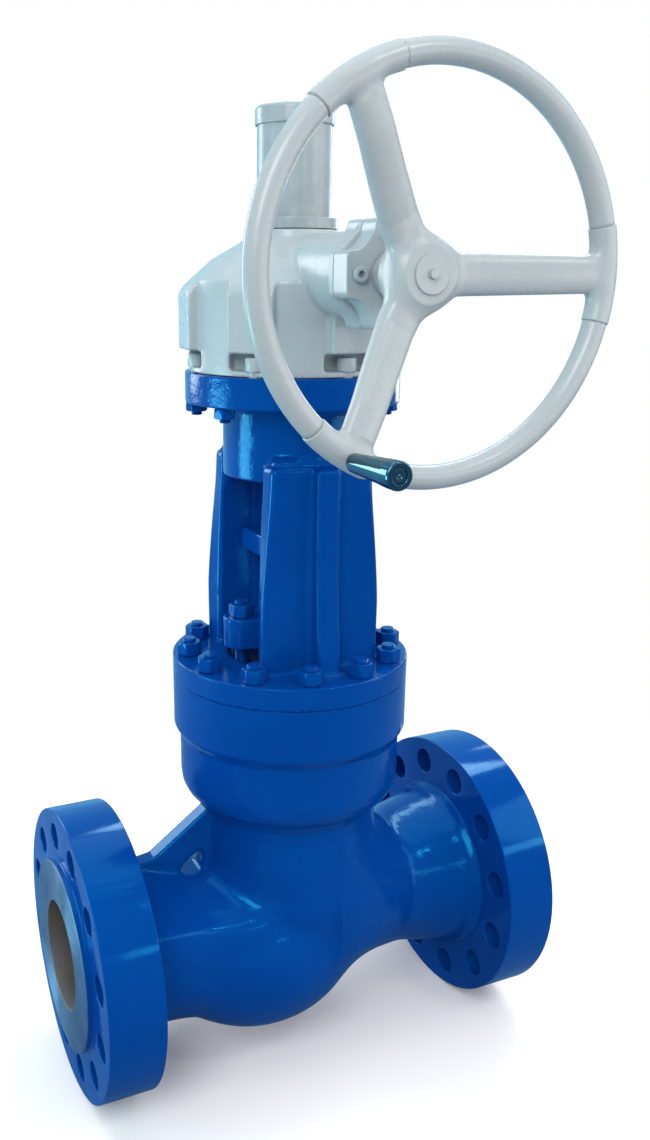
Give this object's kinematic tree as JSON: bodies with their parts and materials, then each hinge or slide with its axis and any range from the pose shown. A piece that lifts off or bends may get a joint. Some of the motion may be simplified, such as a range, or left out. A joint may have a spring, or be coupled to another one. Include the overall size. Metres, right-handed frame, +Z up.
{
  "type": "bevel gear globe valve",
  "caption": "Flanged globe valve with a pressure-seal bonnet, a ribbed yoke, a rising stem under a cover tube, and a bevel gearbox turned by a side handwheel with a spinner handle.",
  "frame": {"origin": "where the stem axis crosses the pipe axis, halfway between the two flange faces", "axes": "+X along the pipe from inlet to outlet, +Z up along the stem, -Y towards the handwheel"},
  "size_m": [0.8414, 0.7814, 1.6052],
  "materials": {
    "blue_paint": "glossy royal blue enamel over cast steel",
    "grey_paint": "light grey semi-gloss enamel over cast iron",
    "bare_steel": "machined steel",
    "trim_steel": "ground steel",
    "chrome": "polished chrome",
    "bronze": "turned bronze",
    "graphite": "pressed graphite rings"
  },
  "bodies": {
    "valve_body": {"body": "blue_paint", "seat_ring": "trim_steel", "bonnet": "bare_steel", "pressure_seal_gasket": "trim_steel", "spacer_ring": "bare_steel", "retaining_segment_01": "bare_steel", "retaining_segment_02": "bare_steel", "retaining_segment_03": "bare_steel", "packing": "graphite", "gland": "trim_steel", "gland_flange": "blue_paint", "gland_stud_01": "blue_paint", "gland_stud_02": "blue_paint", "yoke": "blue_paint", "bonnet_stud_01": "blue_paint", "bonnet_stud_02": "blue_paint", "bonnet_stud_03": "blue_paint", "bonnet_stud_04": "blue_paint", "bonnet_stud_05": "blue_paint", "bonnet_stud_06": "blue_paint", "bonnet_stud_07": "blue_paint", "bonnet_stud_08": "blue_paint", "bonnet_stud_09": "blue_paint", "bonnet_stud_10": "blue_paint", "bonnet_stud_11": "blue_paint", "bonnet_stud_12": "blue_paint", "gearbox_housing": "grey_paint", "gearbox_screw_01": "grey_paint", "gearbox_screw_02": "grey_paint", "gearbox_screw_03": "grey_paint", "gearbox_screw_04": "grey_paint", "gearbox_screw_05": "grey_paint", "gearbox_through_bolt_01": "grey_paint", "gearbox_through_bolt_02": "grey_paint", "plate_stud_01": "blue_paint", "plate_stud_02": "blue_paint", "plate_stud_03": "blue_paint", "plate_stud_04": "blue_paint", "plate_stud_05": "blue_paint", "plate_stud_06": "blue_paint", "input_cover": "grey_paint", "input_bush": "bronze", "stem_cover_tube": "grey_paint", "stem_cover_cap": "grey_paint"},
    "stem": {"stem": "trim_steel", "stem_guide": "blue_paint"},
    "disc": {"disc": "trim_steel", "disc_nut": "trim_steel"},
    "stem_nut": {"stem_nut": "bronze", "bevel_gear": "trim_steel"},
    "lower_roller_cage": {"lower_roller_cage": "trim_steel"},
    "upper_roller_cage": {"upper_roller_cage": "trim_steel"},
    "handwheel": {"handwheel_spider": "grey_paint", "rim_tube_01": "grey_paint", "rim_tube_02": "grey_paint", "rim_tube_03": "grey_paint", "wheel_end_plate": "grey_paint", "bevel_pinion": "trim_steel"},
    "spinner_handle": {"spinner_handle": "chrome"}
  },
  "joints": [
    {"name": "handwheel_spin", "type": "hinge", "parent": "valve_body", "child": "handwheel", "pos_m": [0, -0.39, 1.096], "axis": [0, -1, 0], "range_deg": [0, 6480]},
    {"name": "stem_nut_turn", "type": "hinge", "parent": "valve_body", "child": "stem_nut", "pos_m": [0, 0, 0.96], "axis": [0, 0, 1], "range_deg": [0, 2160]},
    {"name": "stem_lift", "type": "slide", "parent": "valve_body", "child": "stem", "axis": [0, 0, 1], "range_m": [0, 0.06]},
    {"name": "disc_swivel", "type": "hinge", "parent": "stem", "child": "disc", "pos_m": [0, 0, 0.09], "axis": [0, 0, 1], "continuous": true},
    {"name": "lower_cage_turn", "type": "hinge", "parent": "valve_body", "child": "lower_roller_cage", "pos_m": [0, 0, 0.9435], "axis": [0, 0, 1], "range_deg": [0, 1080]},
    {"name": "upper_cage_turn", "type": "hinge", "parent": "valve_body", "child": "upper_roller_cage", "pos_m": [0, 0, 1.128], "axis": [0, 0, 1], "range_deg": [0, 1080]},
    {"name": "spinner_spin", "type": "hinge", "parent": "handwheel", "child": "spinner_handle", "pos_m": [-0.1283, -0.48, 0.87378], "axis": [0, -1, 0], "continuous": true}
  ],
  "couplings": [
    {"joint": "stem_nut_turn", "follows": "handwheel_spin", "ratio": 0.33333},
    {"joint": "stem_lift", "follows": "handwheel_spin", "m_per_rad": 0.00053051},
    {"joint": "lower_cage_turn", "follows": "handwheel_spin", "ratio": 0.16667},
    {"joint": "upper_cage_turn", "follows": "handwheel_spin", "ratio": 0.16667}
  ]
}
